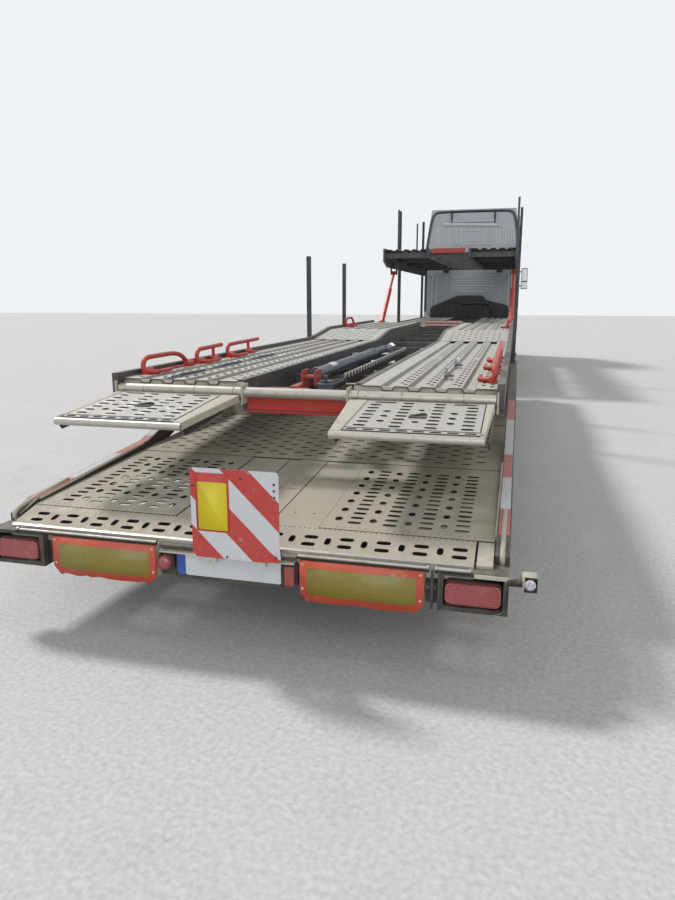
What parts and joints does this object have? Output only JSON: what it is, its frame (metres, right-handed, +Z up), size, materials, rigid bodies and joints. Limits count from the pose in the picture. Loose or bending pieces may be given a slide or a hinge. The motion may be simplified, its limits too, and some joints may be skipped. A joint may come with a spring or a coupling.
{
  "type": "articulated car transporter truck",
  "caption": "Car transporter: a truck with its own lifting decks and a low trailer on a pivot behind it, with perforated wheel tracks, rear ramp flaps and a striped board.",
  "frame": {"origin": "on the ground under the middle of the whole vehicle's length and width", "axes": "+Z up, the front of the truck towards -Y, the vehicle's left side towards +X"},
  "size_m": [2.98, 18.75, 3.95],
  "materials": {
    "chassis_black": "satin",
    "engine_grey": "rough",
    "tyre_rubber": "matt",
    "steel_rim": "satin",
    "galvanised": "matt",
    "dusty_deck": "matt",
    "deck_frame_dark": "satin",
    "red_paint": "satin",
    "cab_paint": "gloss",
    "cab_plastic": "matt",
    "tank_aluminium": "satin",
    "window_glass": "gloss",
    "interior_fabric": "matt",
    "lamp_red": "gloss",
    "lamp_clear": "gloss",
    "tube_steel": "satin",
    "plate_yellow": "satin",
    "board_white": "satin",
    "cylinder_blue": "satin"
  },
  "bodies": {
    "truck": {"truck_frame": "chassis_black", "engine_block": "engine_grey", "truck_axles": "chassis_black", "fuel_tanks": "tank_aluminium", "mudguards": "cab_plastic", "bed_frame": "deck_frame_dark", "bed_planks": "galvanised", "lift_columns": "galvanised", "cab_floor": "cab_paint", "cab_rear_wall": "cab_paint", "cab_side_left": "cab_paint", "cab_side_right": "cab_paint", "cab_front": "cab_paint", "cab_roof": "cab_paint", "windscreen": "window_glass", "cab_interior": "interior_fabric", "front_bumper": "cab_plastic", "tow_sockets": "chassis_black", "truck_lamps": "lamp_clear", "mirrors": "cab_plastic", "air_intake": "cab_plastic"},
    "door_left": {"door_left": "cab_paint", "door_glass_left": "window_glass"},
    "door_right": {"door_right": "cab_paint", "door_glass_right": "window_glass"},
    "knuckle_left": {"knuckle_left": "chassis_black"},
    "knuckle_right": {"knuckle_right": "chassis_black"},
    "front_wheel_left": {"front_tyre_left": "tyre_rubber", "front_rim_left": "steel_rim"},
    "front_wheel_right": {"front_tyre_right": "tyre_rubber", "front_rim_right": "steel_rim"},
    "rear_wheels_left": {"rear_tyres_left": "tyre_rubber", "rear_rims_left": "steel_rim"},
    "rear_wheels_right": {"rear_tyres_right": "tyre_rubber", "rear_rims_right": "steel_rim"},
    "upper_deck": {"upper_deck_frame": "deck_frame_dark", "upper_deck_planks": "galvanised"},
    "strut_left": {"strut_barrel_left": "red_paint"},
    "strut_right": {"strut_barrel_right": "red_paint"},
    "strut_rod_left": {"strut_rod_left": "red_paint"},
    "strut_rod_right": {"strut_rod_right": "red_paint"},
    "trailer": {"trailer_frame": "chassis_black", "side_rails": "deck_frame_dark", "lower_deck": "dusty_deck", "trailer_axles": "chassis_black", "rear_bumper": "chassis_black", "rear_lamps": "lamp_red", "rear_plates": "plate_yellow", "warning_board": "board_white"},
    "wheels_rear_left": {"trailer_wheels_rear_left": "tyre_rubber"},
    "wheels_rear_right": {"trailer_wheels_rear_right": "tyre_rubber"},
    "wheels_front_left": {"trailer_wheels_front_left": "tyre_rubber"},
    "wheels_front_right": {"trailer_wheels_front_right": "tyre_rubber"},
    "trailer_deck": {"trailer_deck_frame": "deck_frame_dark", "trailer_deck_planks": "galvanised", "rear_tube": "tube_steel", "wheel_hoops": "red_paint", "deck_cylinder": "cylinder_blue"},
    "flap_left": {"ramp_flap_left": "galvanised"},
    "flap_right": {"ramp_flap_right": "galvanised"}
  },
  "joints": [
    {"name": "steer_left", "type": "hinge", "parent": "truck", "child": "knuckle_left", "pos_m": [0.93, -7.95, 0.47], "axis": [0, 0, 1], "range_deg": [-35, 35]},
    {"name": "spin_front_left", "type": "hinge", "parent": "knuckle_left", "child": "front_wheel_left", "pos_m": [1.1, -7.95, 0.47], "axis": [1, 0, 0], "continuous": true},
    {"name": "spin_rear_left", "type": "hinge", "parent": "truck", "child": "rear_wheels_left", "pos_m": [0.935, -3, 0.47], "axis": [1, 0, 0], "continuous": true},
    {"name": "door_left_hinge", "type": "hinge", "parent": "truck", "child": "door_left", "pos_m": [1.248, -9.142, 1.9], "axis": [0, 0, -1], "range_deg": [0, 70]},
    {"name": "strut_left_foot", "type": "hinge", "parent": "truck", "child": "strut_left", "pos_m": [1.15, -0.47, 1.212], "axis": [-1, 0, 0], "range_deg": [-9, 10]},
    {"name": "strut_left_slide", "type": "slide", "parent": "strut_left", "child": "strut_rod_left", "axis": [0, -0.7895, 0.6138], "range_m": [-0.2, 0.22]},
    {"name": "flap_left_hinge", "type": "hinge", "parent": "trailer_deck", "child": "flap_left", "pos_m": [0.78, 8.243, 1.1], "axis": [1, 0, 0], "range_deg": [-8, 95]},
    {"name": "spin_rear_left_trailer", "type": "hinge", "parent": "trailer", "child": "wheels_rear_left", "pos_m": [0.952, 6.15, 0.394], "axis": [1, 0, 0], "continuous": true},
    {"name": "spin_front_left_trailer", "type": "hinge", "parent": "trailer", "child": "wheels_front_left", "pos_m": [0.952, 4.83, 0.394], "axis": [1, 0, 0], "continuous": true},
    {"name": "steer_right", "type": "hinge", "parent": "truck", "child": "knuckle_right", "pos_m": [-0.93, -7.95, 0.47], "axis": [0, 0, 1], "range_deg": [-35, 35]},
    {"name": "spin_front_right", "type": "hinge", "parent": "knuckle_right", "child": "front_wheel_right", "pos_m": [-1.1, -7.95, 0.47], "axis": [1, 0, 0], "continuous": true},
    {"name": "spin_rear_right", "type": "hinge", "parent": "truck", "child": "rear_wheels_right", "pos_m": [-0.935, -3, 0.47], "axis": [1, 0, 0], "continuous": true},
    {"name": "door_right_hinge", "type": "hinge", "parent": "truck", "child": "door_right", "pos_m": [-1.248, -9.142, 1.9], "axis": [0, 0, 1], "range_deg": [0, 70]},
    {"name": "strut_right_foot", "type": "hinge", "parent": "truck", "child": "strut_right", "pos_m": [-1.15, -0.47, 1.212], "axis": [-1, 0, 0], "range_deg": [-9, 10]},
    {"name": "strut_right_slide", "type": "slide", "parent": "strut_right", "child": "strut_rod_right", "axis": [0, -0.7895, 0.6138], "range_m": [-0.2, 0.22]},
    {"name": "flap_right_hinge", "type": "hinge", "parent": "trailer_deck", "child": "flap_right", "pos_m": [-0.78, 8.243, 1.1], "axis": [1, 0, 0], "range_deg": [-8, 95]},
    {"name": "spin_rear_right_trailer", "type": "hinge", "parent": "trailer", "child": "wheels_rear_right", "pos_m": [-0.952, 6.15, 0.394], "axis": [1, 0, 0], "continuous": true},
    {"name": "spin_front_right_trailer", "type": "hinge", "parent": "trailer", "child": "wheels_front_right", "pos_m": [-0.952, 4.83, 0.394], "axis": [1, 0, 0], "continuous": true},
    {"name": "upper_deck_lift", "type": "slide", "parent": "truck", "child": "upper_deck", "axis": [0, 0, 1], "range_m": [-0.25, 0.3]},
    {"name": "trailer_deck_lift", "type": "slide", "parent": "trailer", "child": "trailer_deck", "axis": [0, 0, 1], "range_m": [0, 0.8]},
    {"name": "trailer_pivot", "type": "hinge", "parent": "truck", "child": "trailer", "pos_m": [0, -1.7, 0.47], "axis": [0, 0, 1], "range_deg": [-60, 60]}
  ],
  "couplings": [
    {"joint": "steer_right", "follows": "steer_left", "ratio": 1},
    {"joint": "strut_left_foot", "follows": "upper_deck_lift", "rad_per_m": 0.48},
    {"joint": "strut_left_slide", "follows": "upper_deck_lift", "ratio": 0.62},
    {"joint": "strut_right_foot", "follows": "upper_deck_lift", "rad_per_m": 0.48},
    {"joint": "strut_right_slide", "follows": "upper_deck_lift", "ratio": 0.62}
  ]
}
